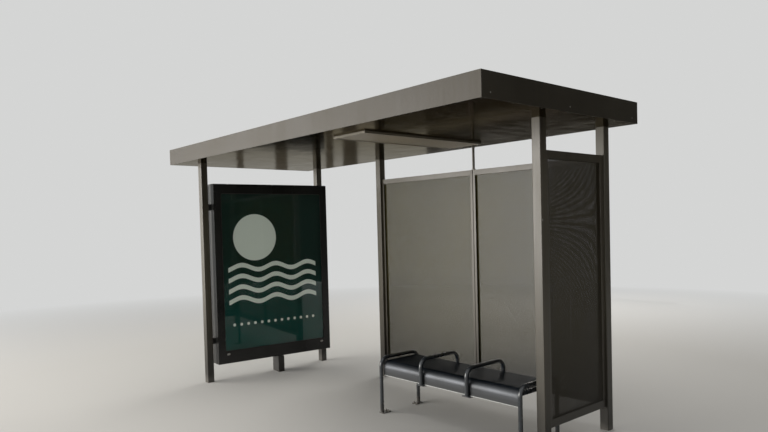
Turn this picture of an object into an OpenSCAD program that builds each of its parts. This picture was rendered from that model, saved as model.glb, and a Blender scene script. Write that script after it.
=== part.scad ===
// Street bus shelter: flat roof on five square posts, perforated back wall and
// side screen, a lit poster case at the left end and a bent-sheet bench.
// Millimetres. X runs along the street, Y away from it, Z up. The origin is on
// the ground under the middle of the roof.

/* [Roof] */
// Length of the roof along the street
roof_l = 4570; // [3400:10:6000]
// Depth of the roof from the street side to the back
roof_d = 1880; // [1500:10:2400]
// Height of the soffit above the ground
soffit_z = 2465; // [2200:5:2800]
// Height of the fascia band
fascia_h = 168; // [110:1:260]
// Width of the fascia's top and bottom flanges
fascia_flange = 30; // [15:1:60]
// Thickness of the fascia plate
fascia_t = 4; // [3:0.5:8]
// Thickness of the soffit and deck sheets
sheet_t = 3; // [2:0.5:6]

/* [Posts] */
// Outside width of the square posts
post_w = 76; // [60:1:110]
// Wall thickness of the posts
post_t = 5; // [3:0.5:9]
// Outside corner radius of the posts
post_r = 6; // [1:0.5:15]
// Left overhang of the roof past the left posts
left_over = 279; // [120:1:500]
// Right overhang of the roof past the right posts
right_over = 224; // [120:1:500]
// Front overhang of the roof past the front left post
front_over = 202; // [80:1:400]
// Back overhang of the roof past the back posts
back_over = 39; // [12:1:150]
// Distance between the centres of the left and the middle back post
bay_l = 1234; // [950:1:1600]
// Depth of the side screen, from the front right post's centre to the back right's
screen_d = 863; // [600:1:1200]

/* [Walls] */
// Height of the wall frames' and the case's lower edge above the ground
low_z = 195; // [100:1:350]
// Height of the wall frames' and the case's upper edge above the ground
high_z = 2236; // [1900:1:2400]
// Depth of the wall frames
frame_d = 40; // [25:1:60]
// Wall thickness of the frames' channel
frame_t = 3; // [2:0.5:5]
// Face width of the back wall's upright members
stile_w = 25; // [18:1:50]
// Face width of the side screen's upright members
screen_stile_w = 38; // [20:1:70]
// Face height of the back wall's rails
rail_h = 51; // [30:1:90]
// Face height of the side screen's rails
screen_rail_h = 60; // [30:1:90]
// Gap between the two back wall frames
wall_gap = 8; // [4:1:20]
// Thickness of the perforated sheets
perf_t = 2; // [1:0.5:5]
// Diameter of the conduit from the back wall up to the soffit
conduit_d = 25; // [15:1:40]

/* [Poster case] */
// Width of the poster case
case_w = 1460; // [1200:5:1550]
// Depth of the poster case over both doors
case_t = 160; // [130:1:220]
// Turn of the poster case towards the street, in degrees
case_cant = 5; // [0:0.5:8]
// Gap between the front left post and the poster case
case_gap = 34; // [20:1:60]
// How far the case's inner face stands proud of the post
case_proud = 56; // [40:1:110]
// Depth of a door frame
door_t = 30; // [26:1:40]
// Gap between a door and the housing
door_gap = 5; // [5:0.5:10]
// Face width of a door's side rails
door_side = 85; // [60:1:110]
// Face height of a door's top rail
door_top = 107; // [80:1:140]
// Face height of a door's bottom rail
door_bottom = 139; // [100:1:170]
// Thickness of the front lip that holds the glass
lip_t = 8; // [5:0.5:12]
// How far the glass reaches behind the lip
glass_lap = 15; // [8:1:25]
// Thickness of the glass
glass_t = 5; // [4:0.5:8]
// Corner radius of a door's opening
opening_r = 22; // [4:1:60]
// Sheet thickness of the housing
housing_t = 4; // [3:0.5:6]
// Width of the housing's flanges
housing_flange = 60; // [40:1:75]
// Thickness of a poster board
poster_t = 3; // [2:0.5:6]
// Radius of the hinge rods
hinge_r = 6; // [4:0.5:8]
// Width of the pedestal along the case
leg_w = 76; // [60:1:120]
// Depth of the pedestal through the case
leg_d = 150; // [100:1:155]
// Radius of the door locks
lock_r = 9; // [6:0.5:14]

/* [Bench] */
// Distance between the centres of the outer bench hoops
bench_l = 1560; // [1200:10:2000]
// Distance from the right posts' left face to the right hoop's centre
bench_inset = 85; // [50:1:300]
// Depth of the seat sheet
seat_d = 430; // [360:1:520]
// Distance from the back posts' front face to the seat's back edge
seat_back_gap = 495; // [200:1:600]
// Height of the seat's top
seat_z = 478; // [420:1:520]
// Height of the seat's front face from its lip to the top
seat_drop = 133; // [90:1:180]
// Radius of the seat's rolled front edge, on the outside
seat_front_r = 66; // [30:1:85]
// Radius of the seat's back edge, on the outside
seat_back_r = 22; // [10:1:40]
// Thickness of the seat sheet
seat_t = 4; // [3:0.5:8]
// Diameter of the bench tubes
tube_d = 34; // [28:1:42]
// Bend radius of the bench tubes, on their centre line
bend_r = 75; // [50:1:100]
// Height of the outer hoops' top
end_top_z = 522; // [490:1:620]
// Height of the inner armrests' top
arm_top_z = 582; // [540:1:680]

/* [Ceiling light] */
// Width of the ceiling light along the street
light_w = 410; // [300:5:700]
// Length of the ceiling light from front to back
light_l = 1390; // [900:5:1440]
// Depth of the ceiling light below the soffit
light_h = 18; // [12:1:50]
// Rim thickness of the ceiling light
light_rim = 12; // [6:1:25]
// Shift of the ceiling light's middle to the right of the back wall's middle
light_shift_x = 45; // [-100:5:100]

/* [View] */
// Which piece to draw

/* [Hidden] */
$fn = 48;
eps = 1;
roof_top = soffit_z + fascia_h;
left_x = -roof_l / 2 + left_over + post_w / 2;
right_x = roof_l / 2 - right_over - post_w / 2;
middle_x = left_x + bay_l;
front_y = -roof_d / 2 + front_over + post_w / 2;
back_y = roof_d / 2 - back_over - post_w / 2;
screen_y = back_y - screen_d;
half_post = post_w / 2;
post_in_r = max(post_r - post_t, 1);

// back wall, between the middle and the right back post
wall_x0 = middle_x + half_post;
wall_x1 = right_x - half_post;
wall_mid = (wall_x0 + wall_x1) / 2;
leaf_w = (wall_x1 - wall_x0 - wall_gap) / 2;
wall_set_in = 6;
wall_y = back_y + half_post - frame_d - wall_set_in;
wall_h = high_z - low_z;

// roof cavity
deck_z = roof_top - fascia_t - sheet_t;
beam_z0 = soffit_z + sheet_t;
beam_h = deck_z - beam_z0;
beam_t = 5;

// poster case, in its own turned frame: x points out of the inner door, y runs
// along the case away from the street, the inner door's face is at x = 0
case_x = left_x + half_post + case_proud;
case_y = front_y + half_post + case_gap;
case_h = high_z - low_z;
open_w = case_w - 2 * door_side;
open_h = case_h - door_top - door_bottom;
glass_play = 2;
housing_x1 = -door_t - door_gap;
housing_x0 = -case_t - housing_x1;
hinge_x = -door_t / 2;
hinge_z = high_z - door_t / 2;
hinge_play = 0.3;
rod_end_gap = 2;
lug_w = 12;
lug_r = 10;
lug_play = 5;
slot_play = 2.5;
slot_r = lug_r + slot_play;
lug_side = 175;
lug_ys = [lug_side, case_w / 2, case_w - lug_side];
lock_side = 120;
lock_up = 105;
lock_proud = 2;
lock_deep = 8;
leg_shift = 50;
saddle_h = 8;
bracket_h = 70;
bracket_t = 12;
bracket_end = 260;
bracket_low = low_z + bracket_end;
bracket_high = high_z - bracket_end;

// bench
bench_x1 = right_x - half_post - bench_inset;
bench_x0 = bench_x1 - bench_l;
hoop_xs = [0, 1 / 3, 2 / 3, 1] * bench_l;
seat_y1 = back_y - half_post - seat_back_gap;
seat_y0 = seat_y1 - seat_d;
lip_z = seat_z - seat_drop;
tube_r = tube_d / 2;
hoop_y0 = seat_y0 - tube_r;
hoop_y1 = seat_y1 + tube_r;
back_lip = 62;
lip_return = 18;
foot_l = 100;
foot_w = 60;
foot_t = 8;
foot_r = 10;
foot_shift = 25;
foot_in = 10;
pad_t = 6;
pad_l = 46;
pad_w = 90;
pad_r = 8;
bearer_w = 36;
bearer_h = 36;
bearer_t = 5;

lens_t = 4;
lens_in = 4;
light_x0 = wall_mid + light_shift_x - light_w / 2;

// A rectangle with round corners, centred
module round_rectangle(w, d, r) {
    square([w, d - 2 * r], center = true);
    square([w - 2 * r, d], center = true);
    for (x = [-1, 1], y = [-1, 1])
        translate([x * (w / 2 - r), y * (d / 2 - r)])
            circle(r);
}

// A square tube standing on the ground and reaching the soffit
module post(x, y) {
    color("#5b5448")
        translate([x, y, 0])
            linear_extrude(soffit_z)
                difference() {
                    round_rectangle(post_w, post_w, post_r);
                    round_rectangle(post_w - 2 * post_t, post_w - 2 * post_t, post_in_r);
                }
}

module front_left_post() {
    post(left_x, front_y);
}

module back_left_post() {
    post(left_x, back_y);
}

module back_middle_post() {
    post(middle_x, back_y);
}

module back_right_post() {
    post(right_x, back_y);
}

module front_right_post() {
    post(right_x, screen_y);
}

// A fascia's section: a plate with a flange turned in at its top and at its foot.
// The plate's face is at x = 0 and the flanges point along +x.
module fascia_section() {
    square([fascia_t, fascia_h]);
    translate([0, fascia_h - fascia_t])
        square([fascia_flange, fascia_t]);
    translate([0, sheet_t])
        square([fascia_flange, fascia_t]);
}

// The long fascias' plates cover the ends of the short ones
module long_fascia(side) {
    color("#7c7668")
        translate([0, side * roof_d / 2, soffit_z])
            rotate([0, 0, side > 0 ? -90 : 90])
                rotate([90, 0, 0])
                    difference() {
                        linear_extrude(roof_l, center = true)
                            fascia_section();
                        for (s = [-1, 1])
                            translate([fascia_t, -eps, s * roof_l / 2 - fascia_t])
                                cube([fascia_flange, fascia_h + 2 * eps, 2 * fascia_t]);
                    }
}

// The short fascias stop against the long ones' plates, with their flanges cut
// back to the long ones' flanges
module short_fascia(side) {
    color("#7c7668")
        translate([side * roof_l / 2, 0, soffit_z])
            rotate([0, 0, side > 0 ? 180 : 0])
                rotate([90, 0, 0])
                    difference() {
                        linear_extrude(roof_d - 2 * fascia_t, center = true)
                            fascia_section();
                        for (s = [-1, 1])
                            translate([fascia_t, -eps, s * roof_d / 2 - fascia_flange])
                                cube([fascia_flange, fascia_h + 2 * eps, 2 * fascia_flange]);
                    }
}

module front_fascia() {
    long_fascia(-1);
}

module back_fascia() {
    long_fascia(1);
}

module left_fascia() {
    short_fascia(-1);
}

module right_fascia() {
    short_fascia(1);
}

// A sheet that fills the roof between the fascias' plates
module roof_sheet(z) {
    translate([-roof_l / 2 + fascia_t, -roof_d / 2 + fascia_t, z])
        cube([roof_l - 2 * fascia_t, roof_d - 2 * fascia_t, sheet_t]);
}

module roof_deck() {
    color("#6e695d")
        roof_sheet(deck_z);
}

module soffit_panel() {
    color("#2f281f")
        roof_sheet(soffit_z);
}

// A box beam in the roof's cavity, lying along x on its centre line
module beam(l) {
    translate([0, -half_post, 0])
        difference() {
            cube([l, post_w, beam_h]);
            translate([-eps, beam_t, beam_t])
                cube([l + 2 * eps, post_w - 2 * beam_t, beam_h - 2 * beam_t]);
        }
}

module back_roof_beam() {
    color("#4a453b")
        translate([-roof_l / 2 + fascia_flange, back_y, beam_z0])
            beam(roof_l - 2 * fascia_flange);
}

// The cross beams run from the front flange to the back beam
module cross_beam(x) {
    color("#4a453b")
        translate([x, -roof_d / 2 + fascia_flange, beam_z0])
            rotate([0, 0, 90])
                beam(back_y - half_post + roof_d / 2 - fascia_flange);
}

module left_roof_beam() {
    cross_beam(left_x);
}

module right_roof_beam() {
    cross_beam(right_x);
}

// The ceiling light: a shallow tray rim under the soffit, midway from front to back
module ceiling_light_housing() {
    color("#6a604c")
        translate([light_x0, -light_l / 2, soffit_z - light_h])
            difference() {
                cube([light_w, light_l, light_h]);
                translate([light_rim, light_rim, -eps])
                    cube([light_w - 2 * light_rim, light_l - 2 * light_rim, light_h + 2 * eps]);
            }
}

module ceiling_light_lens() {
    color("#8a7c62")
        translate([light_x0 + light_rim, light_rim - light_l / 2, soffit_z - light_h + lens_in])
            cube([light_w - 2 * light_rim, light_l - 2 * light_rim, lens_t]);
}

// A welded frame of channel, open towards its middle: w wide along x, frame_d
// deep along y and wall_h high, with its own stile and rail widths
module channel_frame(w, stile, rail) {
    difference() {
        cube([w, frame_d, wall_h]);
        translate([frame_t, frame_t, frame_t])
            cube([w - 2 * frame_t, frame_d - 2 * frame_t, wall_h - 2 * frame_t]);
        translate([stile, -eps, rail])
            cube([w - 2 * stile, frame_d + 2 * eps, wall_h - 2 * rail]);
    }
}

// The sheet that a channel frame holds, at y from the frame's near face
module framed_sheet(w, y) {
    translate([frame_t, y, frame_t])
        cube([w - 2 * frame_t, perf_t, wall_h - 2 * frame_t]);
}

module left_wall_frame() {
    color("#5b5448")
        translate([wall_x0, wall_y, low_z])
            channel_frame(leaf_w, stile_w, rail_h);
}

module right_wall_frame() {
    color("#5b5448")
        translate([wall_x1 - leaf_w, wall_y, low_z])
            channel_frame(leaf_w, stile_w, rail_h);
}

module left_wall_panel() {
    color("#645f4d")
        translate([wall_x0, wall_y, low_z])
            framed_sheet(leaf_w, (frame_d - perf_t) / 2);
}

module right_wall_panel() {
    color("#645f4d")
        translate([wall_x1 - leaf_w, wall_y, low_z])
            framed_sheet(leaf_w, (frame_d - perf_t) / 2);
}

// A round conduit from the back wall's top rails up to the soffit
module light_conduit() {
    color("#3a342a")
        translate([wall_mid, wall_y + frame_d / 2, high_z])
            cylinder(d = conduit_d, h = soffit_z - high_z);
}

// The side screen stands between the two right posts, its sheet against the back of
// the frame's outer face
module at_screen() {
    translate([right_x + frame_d / 2, screen_y + half_post, low_z])
        rotate([0, 0, 90])
            children();
}

module side_screen_frame() {
    color("#4a4438")
        at_screen()
            channel_frame(screen_d - post_w, screen_stile_w, screen_rail_h);
}

module side_screen_panel() {
    color("#3a352b")
        at_screen()
            framed_sheet(screen_d - post_w, frame_t);
}

// Places a piece in the poster case's own frame
module at_case() {
    translate([case_x, case_y, 0])
        rotate([0, 0, -case_cant])
            children();
}

// The same piece on the case's outer side
module at_case_outside() {
    at_case()
        translate([-case_t, case_w, 0])
            rotate([0, 0, 180])
                children();
}

module hinge_bar(r, l) {
    translate([hinge_x, (case_w - l) / 2, hinge_z])
        rotate([-90, 0, 0])
            cylinder(r = r, h = l);
}

// The housing's hinge lugs, which reach into slots in a door's top rail
module hinge_lugs() {
    for (y = lug_ys)
        difference() {
            union() {
                translate([hinge_x, y - lug_w / 2, hinge_z])
                    rotate([-90, 0, 0])
                        cylinder(r = lug_r, h = lug_w);
                translate([housing_x1, y - lug_w / 2, hinge_z - lug_r])
                    cube([hinge_x - housing_x1, lug_w, 2 * lug_r]);
            }
            hinge_bar(hinge_r, case_w);
        }
}

// A ring of bent sheet, with flanges on both faces and lugs for both doors
module case_housing() {
    deep = housing_x1 - housing_x0;
    color("#3b3b38") {
        at_case()
            translate([housing_x0, 0, low_z])
                difference() {
                    cube([deep, case_w, case_h]);
                    translate([housing_t, housing_t, housing_t])
                        cube([deep - 2 * housing_t, case_w - 2 * housing_t, case_h - 2 * housing_t]);
                    translate([-eps, housing_flange, housing_flange])
                        cube([deep + 2 * eps, case_w - 2 * housing_flange,
                            case_h - 2 * housing_flange]);
                }
        at_case()
            hinge_lugs();
        at_case_outside()
            hinge_lugs();
    }
}

// A poster board, flush in the housing's flange opening
module poster() {
    translate([housing_x1 - poster_t, housing_flange, low_z + housing_flange])
        cube([poster_t, case_w - 2 * housing_flange, case_h - 2 * housing_flange]);
}

module inner_poster() {
    color("#23453f")
        at_case()
            poster();
}

module outer_poster() {
    color("#23453f")
        at_case_outside()
            poster();
}

// The space a hinge lug sweeps in a door's top rail
module lug_slot(y) {
    w = lug_w + 2 * lug_play;
    translate([hinge_x, y - w / 2, hinge_z]) {
        rotate([-90, 0, 0])
            cylinder(r = slot_r, h = w);
        translate([-door_t, 0, -slot_r])
            cube([door_t, w, 2 * slot_r + door_t]);
        translate([-slot_r, 0, 0])
            cube([2 * slot_r, w, door_t]);
    }
}

// A door frame. Its top edge is rounded about the hinge rod, so that it clears
// the housing as it swings up.
module door_frame(locks) {
    difference() {
        union() {
            translate([-door_t, 0, low_z])
                cube([door_t, case_w, hinge_z - low_z]);
            translate([hinge_x, 0, hinge_z])
                rotate([-90, 0, 0])
                    cylinder(r = door_t / 2, h = case_w);
        }
        translate([-lip_t - eps, case_w / 2, low_z + door_bottom + open_h / 2])
            rotate([90, 0, 90])
                linear_extrude(lip_t + 2 * eps)
                    round_rectangle(open_w, open_h, opening_r);
        translate([-door_t - eps, door_side - glass_lap, low_z + door_bottom - glass_lap])
            cube([door_t - lip_t + eps, open_w + 2 * glass_lap, open_h + 2 * glass_lap]);
        translate([0, -eps, 0])
            hinge_bar(hinge_r + hinge_play, case_w + 4 * eps);
        for (y = lug_ys)
            lug_slot(y);
        if (locks)
            for (y = [lock_side, case_w - lock_side])
                translate([-lock_deep, y, low_z + lock_up])
                    rotate([0, 90, 0])
                        cylinder(r = lock_r, h = lock_deep + eps);
    }
}

// The pane lies behind the lip, with a little play at its edges
module door_glass() {
    in = glass_lap - glass_play;
    translate([-lip_t - glass_t, door_side - in, low_z + door_bottom - in])
        cube([glass_t, open_w + 2 * in, open_h + 2 * in]);
}

module door_lock(y) {
    translate([-lock_deep, y, low_z + lock_up])
        rotate([0, 90, 0])
            cylinder(r = lock_r, h = lock_deep + lock_proud);
}

module inner_door_frame() {
    color("#1a1b19")
        at_case()
            door_frame(true);
}

module inner_door_glass() {
    color("#6f8580", 0.3)
        at_case()
            door_glass();
}

module inner_hinge_rod() {
    color("#7d7d78")
        at_case()
            hinge_bar(hinge_r, case_w - 2 * rod_end_gap);
}

module left_door_lock() {
    color("#9a9a94")
        at_case()
            door_lock(lock_side);
}

module right_door_lock() {
    color("#9a9a94")
        at_case()
            door_lock(case_w - lock_side);
}

module outer_door_frame() {
    color("#1a1b19")
        at_case_outside()
            door_frame(false);
}

module outer_door_glass() {
    color("#6f8580", 0.3)
        at_case_outside()
            door_glass();
}

module outer_hinge_rod() {
    color("#7d7d78")
        at_case_outside()
            hinge_bar(hinge_r, case_w - 2 * rod_end_gap);
}

// The pedestal under the case's middle, with a saddle that meets the housing
// and leaves both doors free
module case_leg() {
    color("#45433d")
        at_case()
            translate([0, case_w / 2 + leg_shift - leg_w / 2, 0]) {
                translate([-case_t / 2 - leg_d / 2, 0, 0])
                    cube([leg_d, leg_w, low_z - saddle_h]);
                translate([housing_x0, 0, 0])
                    cube([housing_x1 - housing_x0, leg_w, low_z]);
            }
}

// A block in the case's own frame, from x0 to x1 through its depth, that the
// brackets are cut to; grow lengthens it at both ends
module case_block(x0, x1, grow) {
    at_case()
        translate([x0, -grow, 0])
            cube([x1 - x0, case_w + 2 * grow, roof_top]);
}

// A bracket from the back of the front left post to the case's near side
module front_bracket(z) {
    x = max(left_x - half_post + post_r, case_x + housing_x0);
    color("#45433d")
        difference() {
            translate([x, front_y + half_post, z - bracket_h / 2])
                cube([bracket_t, case_gap + case_t, bracket_h]);
            case_block(-2 * case_t, case_t, 0);
        }
}

// A bracket from the back left post's right face to the case's far side
module back_bracket(z) {
    reach = case_proud + case_w * sin(case_cant) + housing_x1 - door_gap;
    y0 = min(case_y + case_w * cos(case_cant), back_y - half_post + post_r);
    y1 = back_y - half_post + post_r + bracket_t;
    color("#45433d")
        difference() {
            translate([left_x + half_post, y0, z - bracket_h / 2])
                cube([reach, y1 - y0, bracket_h]);
            case_block(-2 * case_t, case_t, 0);
            case_block(-2 * case_t, housing_x0, door_gap);
        }
}

module upper_front_bracket() {
    front_bracket(bracket_high);
}

module lower_front_bracket() {
    front_bracket(bracket_low);
}

module upper_back_bracket() {
    back_bracket(bracket_high);
}

module lower_back_bracket() {
    back_bracket(bracket_low);
}

// A quarter ring about the origin, from +x to +y
module quarter_ring(r_out, t) {
    intersection() {
        difference() {
            circle(r_out, $fn = 96);
            circle(r_out - t, $fn = 96);
        }
        square(r_out + eps);
    }
}

// The seat's section, with y across the seat and z up: a lip turned in at the
// foot of the front face, the rolled front, the flat top and the back flange
module seat_section() {
    translate([0, 0])
        square([lip_return, seat_t]);
    square([seat_t, seat_drop - seat_front_r]);
    translate([seat_front_r, seat_drop - seat_front_r])
        rotate(90)
            quarter_ring(seat_front_r, seat_t);
    translate([seat_front_r, seat_drop - seat_t])
        square([seat_d - seat_front_r - seat_back_r, seat_t]);
    translate([seat_d - seat_back_r, seat_drop - seat_back_r])
        quarter_ring(seat_back_r, seat_t);
    translate([seat_d - seat_t, seat_drop - back_lip])
        square([seat_t, back_lip - seat_back_r]);
}

module bench_seat() {
    color("#272c31")
        translate([bench_x0 + tube_r, seat_y0, lip_z])
            rotate([90, 0, 90])
                linear_extrude(bench_l - tube_d)
                    seat_section();
}

// A bend of the bench tube in the plane of y and z, centred on the origin
module tube_bend(turn) {
    rotate([turn, 0, 0])
        rotate([90, 0, 90])
            rotate_extrude(angle = 90, $fn = 96)
                translate([bend_r, 0])
                    circle(tube_r);
}

// A hoop: two legs down to z0 and z1 and a level top at top_z
module hoop(z0, z1, top_z) {
    zc = top_z - tube_r;
    span = hoop_y1 - hoop_y0;
    translate([0, hoop_y0, z0])
        cylinder(r = tube_r, h = zc - bend_r - z0);
    translate([0, hoop_y1, z1])
        cylinder(r = tube_r, h = zc - bend_r - z1);
    translate([0, hoop_y0 + bend_r, zc])
        rotate([-90, 0, 0])
            cylinder(r = tube_r, h = span - 2 * bend_r);
    translate([0, hoop_y1 - bend_r, zc - bend_r])
        tube_bend(0);
    translate([0, hoop_y0 + bend_r, zc - bend_r])
        tube_bend(90);
}

// A foot plate under a leg of an outer hoop
module foot(x, y) {
    translate([x, y, 0])
        linear_extrude(foot_t)
            round_rectangle(foot_w, foot_l, foot_r);
}

// An outer hoop stands on its two feet and carries one end of the seat on an
// angle welded between its legs. inward is 1 where the seat lies on its +x side.
module end_hoop(x, inward) {
    color("#161d24")
        translate([x, 0, 0]) {
            hoop(0, 0, end_top_z);
            foot(inward * foot_in, hoop_y0 + foot_shift);
            foot(inward * foot_in, hoop_y1 - foot_shift);
            mirror([inward > 0 ? 0 : 1, 0, 0])
                translate([-bearer_t / 2, 0, seat_z - seat_t - bearer_h]) {
                    translate([0, seat_y0 + seat_front_r, bearer_h - bearer_t])
                        cube([bearer_w, seat_d - seat_front_r - seat_back_r, bearer_t]);
                    translate([0, hoop_y0, 0])
                        cube([bearer_t, hoop_y1 - hoop_y0, bearer_h]);
                }
        }
}

// A pad that an armrest's leg is welded to, bolted up against the seat's lip
module pad(y, z) {
    translate([0, y, z])
        linear_extrude(pad_t)
            round_rectangle(pad_w, pad_l, pad_r);
}

// An inner armrest straddles the seat and ends in pads at its two lips
module armrest(x) {
    color("#161d24")
        translate([x, 0, 0]) {
            hoop(lip_z, seat_z - back_lip, arm_top_z);
            pad(hoop_y0 - tube_r + pad_l / 2, lip_z - pad_t);
            pad(hoop_y1 + tube_r - pad_l / 2, seat_z - back_lip - pad_t);
        }
}

module left_bench_hoop() {
    end_hoop(bench_x0 + hoop_xs[0], 1);
}

module inner_left_armrest() {
    armrest(bench_x0 + hoop_xs[1]);
}

module inner_right_armrest() {
    armrest(bench_x0 + hoop_xs[2]);
}

module right_bench_hoop() {
    end_hoop(bench_x0 + hoop_xs[3], -1);
}

front_left_post();
back_left_post();
back_middle_post();
back_right_post();
front_right_post();
front_fascia();
back_fascia();
left_fascia();
right_fascia();
roof_deck();
soffit_panel();
back_roof_beam();
left_roof_beam();
right_roof_beam();
ceiling_light_housing();
ceiling_light_lens();
left_wall_frame();
right_wall_frame();
left_wall_panel();
right_wall_panel();
light_conduit();
side_screen_frame();
side_screen_panel();
case_housing();
inner_poster();
outer_poster();
inner_door_frame();
inner_door_glass();
inner_hinge_rod();
left_door_lock();
right_door_lock();
outer_door_frame();
outer_door_glass();
outer_hinge_rod();
case_leg();
upper_front_bracket();
lower_front_bracket();
upper_back_bracket();
lower_back_bracket();
bench_seat();
left_bench_hoop();
inner_left_armrest();
inner_right_armrest();
right_bench_hoop();
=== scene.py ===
import math
import bpy
from mathutils import Matrix, Vector


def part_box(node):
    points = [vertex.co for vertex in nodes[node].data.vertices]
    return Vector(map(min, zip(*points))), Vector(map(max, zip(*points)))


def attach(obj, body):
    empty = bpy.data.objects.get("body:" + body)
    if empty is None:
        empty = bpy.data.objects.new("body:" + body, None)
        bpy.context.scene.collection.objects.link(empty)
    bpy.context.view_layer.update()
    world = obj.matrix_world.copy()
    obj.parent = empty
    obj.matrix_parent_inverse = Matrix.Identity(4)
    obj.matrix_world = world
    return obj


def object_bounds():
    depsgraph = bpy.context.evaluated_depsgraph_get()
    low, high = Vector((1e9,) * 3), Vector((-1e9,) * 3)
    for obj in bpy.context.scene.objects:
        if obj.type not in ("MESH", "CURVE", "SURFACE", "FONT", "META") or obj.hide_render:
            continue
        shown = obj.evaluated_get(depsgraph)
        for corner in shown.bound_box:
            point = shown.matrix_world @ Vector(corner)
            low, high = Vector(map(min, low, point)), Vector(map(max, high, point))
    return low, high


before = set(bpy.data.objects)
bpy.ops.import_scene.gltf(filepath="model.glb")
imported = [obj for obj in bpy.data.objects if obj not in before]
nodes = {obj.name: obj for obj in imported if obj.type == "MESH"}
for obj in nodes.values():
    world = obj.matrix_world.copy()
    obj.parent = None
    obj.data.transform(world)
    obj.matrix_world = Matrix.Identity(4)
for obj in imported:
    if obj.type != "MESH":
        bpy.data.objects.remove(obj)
cad_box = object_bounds()
bpy.ops.object.select_all(action="DESELECT")

# Posts: five square steel tubes, 76 mm wide, that stand on the ground and carry the
# roof. They are powder coated in a dark bronze that has chalked, streaked under the
# rain and gone grey with dust at the foot. Their colour is also darkened from about a
# metre up towards the foot.
POSTS = ["front_left_post", "back_left_post", "back_middle_post", "back_right_post",
         "front_right_post"]
bronze = (0.053, 0.046, 0.032)
chalk = (0.112, 0.100, 0.073)
grime = (0.018, 0.016, 0.013)
road_dust = (0.115, 0.108, 0.095)


def add(tree, kind, inputs=None, **settings):
    """One new node; inputs holds a socket to link or a plain value for each input."""
    node = tree.nodes.new("ShaderNode" + kind)
    for key, value in settings.items():
        setattr(node, key, value)
    for key, value in (inputs or {}).items():
        if isinstance(value, bpy.types.NodeSocket):
            tree.links.new(value, node.inputs[key])
        else:
            node.inputs[key].default_value = value
    return node


def finish_tree(name):
    """A new material, its node tree and the tree's Principled shader."""
    material = bpy.data.materials.new(name)
    material.use_nodes = True
    return material, material.node_tree, material.node_tree.nodes["Principled BSDF"]


def place(tree):
    """The place on the piece, in metres."""
    return add(tree, "TexCoord").outputs["Object"]


def noise(tree, scale, detail=4.0, roughness=0.55, offset=(0.0, 0.0, 0.0)):
    """A soft noise with about as many patches a metre as scale says, along X, Y and Z."""
    spot = add(tree, "Mapping", {"Vector": place(tree), "Location": offset, "Scale": scale})
    return add(tree, "TexNoise", {"Vector": spot.outputs["Vector"], "Scale": 1.0, "Detail": detail,
                                  "Roughness": roughness}).outputs["Fac"]


def ramp(tree, value, low, high, start=0.0, end=1.0):
    """start where the value is low, end where it is high, and held beyond both."""
    node = add(tree, "MapRange", {"Value": value, "From Min": low, "From Max": high,
                                  "To Min": start, "To Max": end})
    return node.outputs["Result"]


def combine(tree, how, a, b=0.0):
    """One step of arithmetic; how is its name in Blender, and some steps use only a."""
    return add(tree, "Math", {0: a, 1: b}, operation=how).outputs["Value"]


def blend_colour(tree, amount, under, over):
    """The colour under where amount is 0, and the colour over where it is 1."""
    node = add(tree, "Mix", {"Factor": amount}, data_type="RGBA")
    # The colour inputs of a Mix node are 6 and 7, and its colour output is 2.
    for key, value in ((6, under), (7, over)):
        if isinstance(value, bpy.types.NodeSocket):
            tree.links.new(value, node.inputs[key])
        else:
            node.inputs[key].default_value = (*value, 1.0)
    return node.outputs[2]


def height(tree):
    """The height above the ground, in metres."""
    return add(tree, "SeparateXYZ", {"Vector": place(tree)}).outputs["Z"]


def bump(tree, shader, value, depth, strength):
    """Relief on the shader's surface, depth metres deep where the value goes from 0 to 1."""
    relief = add(tree, "Bump", {"Height": value, "Distance": depth, "Strength": strength})
    tree.links.new(relief.outputs["Normal"], shader.inputs["Normal"])


def edge_rub(tree, width, low, high):
    """1 on an edge that is rubbed, 0 on a flat face, broken up by a noise."""
    soft = add(tree, "Bevel", {"Radius": width}, samples=6).outputs["Normal"]
    true = add(tree, "NewGeometry").outputs["True Normal"]
    along = add(tree, "VectorMath", {0: soft, 1: true}, operation="DOT_PRODUCT").outputs["Value"]
    patchy = ramp(tree, noise(tree, (26.0, 26.0, 9.0), 5.0, 0.65), 0.42, 0.62)
    return combine(tree, "MULTIPLY", ramp(tree, along, high, low), patchy)


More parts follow.
